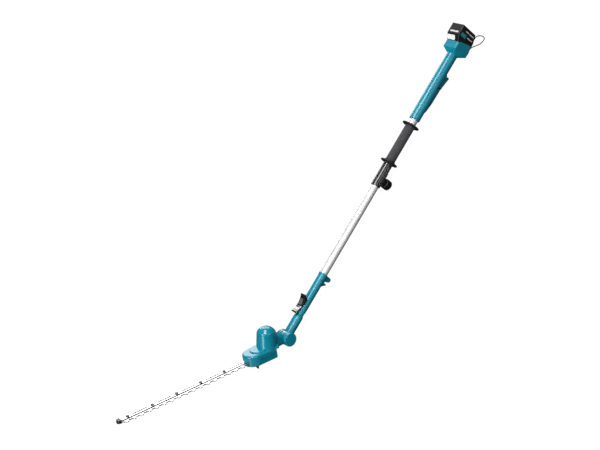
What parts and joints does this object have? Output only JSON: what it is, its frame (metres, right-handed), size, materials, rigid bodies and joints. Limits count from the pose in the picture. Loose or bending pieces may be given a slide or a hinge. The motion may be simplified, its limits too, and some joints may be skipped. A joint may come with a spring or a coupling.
{
  "type": "pole hedge trimmer",
  "caption": "Cordless telescopic pole hedge trimmer with a tilting motor head, a double-sided reciprocating blade, a foam front grip and a slide-on battery.",
  "frame": {"origin": "bottom centre of the box around the object without its cord loop; the lowest point is the end of the clamp knob, and the pole axis is 56.5 mm above the origin", "axes": "+X along the pole towards the battery, +Z the upper side away from the trigger, -Y the left side of the tool as its user holds it"},
  "size_m": [1.6368, 0.0809, 0.444],
  "materials": {
    "teal_shell": "moulded nylon, satin gloss",
    "foot_black": "moulded, matt",
    "black_plastic": "moulded, semi gloss",
    "lever_grey": "textured pad",
    "button_white": "moulded, semi gloss",
    "foam": "closed cell foam",
    "tube_silver": "clear anodised",
    "bush_plastic": "moulded",
    "steel": "zinc plated",
    "blade_steel": "nickel plated, ground",
    "bolt_dark": "black oxide",
    "brass": "plain",
    "switch_body": "moulded",
    "circuit": "coated board",
    "cell_wrap": "shrink wrap",
    "cord": "round cord"
  },
  "bodies": {
    "handle": {"handle_shell_left": "teal_shell", "handle_shell_right": "teal_shell", "handle_screws": "steel", "trigger_pin": "steel", "switch_unit": "switch_body", "controller_board": "circuit", "outer_tube": "tube_silver", "clamp_collar": "black_plastic", "clamp_shoe": "brass", "knob_nut": "steel", "grip_sleeve": "foam", "grip_flange_front": "black_plastic", "grip_flange_rear": "black_plastic", "battery_rail": "foot_black", "contact_blades": "brass", "cord_loop": "cord", "cord_anchor": "foot_black"},
    "clamp_knob": {"clamp_knob": "black_plastic", "clamp_stud": "steel"},
    "trigger": {"trigger": "black_plastic"},
    "lock_off": {"lock_off_button": "black_plastic"},
    "battery": {"battery_case": "black_plastic", "battery_cover": "black_plastic", "battery_cells": "cell_wrap", "battery_board": "circuit"},
    "battery_button": {"battery_button": "button_white"},
    "pole": {"joint_housing_left": "teal_shell", "joint_housing_right": "teal_shell", "housing_screws": "steel", "inner_tube": "tube_silver", "tube_end_bush": "bush_plastic", "pivot_bolt": "steel", "pivot_nut": "steel", "lever_pin": "steel", "hanging_hook": "teal_shell"},
    "angle_lever": {"angle_lever": "black_plastic", "lever_pad": "lever_grey", "lever_plate": "steel", "lever_tip": "foot_black"},
    "lock_pin": {"lock_pin": "steel"},
    "head": {"motor_cover": "teal_shell", "motor_base": "teal_shell", "gear_housing": "teal_shell", "bottom_cover": "teal_shell", "cover_screws": "steel", "foot_tabs": "foot_black", "head_knuckle": "teal_shell", "detent_ring": "steel", "motor_can": "steel", "shaft_bearings": "steel", "guide_bar": "blade_steel", "blade_bolts": "bolt_dark", "blade_nuts": "bolt_dark", "tip_guard": "black_plastic"},
    "motor": {"motor_rotor": "steel", "pinion": "steel"},
    "crank": {"crank_gear": "steel", "crank_shaft": "steel"},
    "upper_blade": {"upper_blade": "blade_steel"},
    "lower_blade": {"lower_blade": "blade_steel"}
  },
  "joints": [
    {"name": "pole_slide", "type": "slide", "parent": "handle", "child": "pole", "axis": [-1, 0, 0], "range_m": [0, 0.24]},
    {"name": "clamp_knob_turn", "type": "hinge", "parent": "handle", "child": "clamp_knob", "pos_m": [0.25394, 0, 0.011], "axis": [0, 0, 1], "range_deg": [0, 360]},
    {"name": "trigger_pull", "type": "hinge", "parent": "handle", "child": "trigger", "pos_m": [0.60794, 0, 0.029], "axis": [0, -1, 0], "range_deg": [0, 7], "stiffness_Nm_per_rad": 1, "springref_deg": -6.88},
    {"name": "lock_off_press", "type": "slide", "parent": "handle", "child": "lock_off", "axis": [0, 1, 0], "range_m": [0, 0.0035], "stiffness_N_per_m": 400, "springref_m": -0.003},
    {"name": "battery_slide", "type": "slide", "parent": "handle", "child": "battery", "axis": [0, 0, 1], "range_m": [0, 0.075]},
    {"name": "battery_button_press", "type": "slide", "parent": "battery", "child": "battery_button", "axis": [0.5708, 0, -0.8211], "range_m": [0, 0.002], "stiffness_N_per_m": 500, "springref_m": -0.003},
    {"name": "angle_lever_pull", "type": "hinge", "parent": "pole", "child": "angle_lever", "pos_m": [-0.20206, 0, 0.0618], "axis": [0, 1, 0], "range_deg": [0, 15]},
    {"name": "lock_pin_slide", "type": "slide", "parent": "pole", "child": "lock_pin", "axis": [-1, 0, 0], "range_m": [0, 0.0045]},
    {"name": "head_tilt", "type": "hinge", "parent": "pole", "child": "head", "pos_m": [-0.32806, 0, 0.047], "axis": [0, 1, 0], "range_deg": [-115, 0]},
    {"name": "crank_spin", "type": "hinge", "parent": "head", "child": "crank", "pos_m": [-0.41639, 0, 0.10391], "axis": [0.6561, 0, 0.7547], "continuous": true},
    {"name": "motor_spin", "type": "hinge", "parent": "head", "child": "motor", "pos_m": [-0.38896, 0, 0.08669], "axis": [0.6561, 0, 0.7547], "continuous": true},
    {"name": "upper_blade_slide", "type": "slide", "parent": "head", "child": "upper_blade", "axis": [-0.7547, 0, 0.6561], "range_m": [0, 0.013]},
    {"name": "lower_blade_slide", "type": "slide", "parent": "head", "child": "lower_blade", "axis": [-0.7547, 0, 0.6561], "range_m": [-0.013, 0]}
  ],
  "couplings": [
    {"joint": "motor_spin", "follows": "crank_spin", "ratio": -4.3333},
    {"joint": "lower_blade_slide", "follows": "upper_blade_slide", "ratio": -1},
    {"joint": "lock_pin_slide", "follows": "angle_lever_pull", "m_per_rad": 0.016}
  ]
}
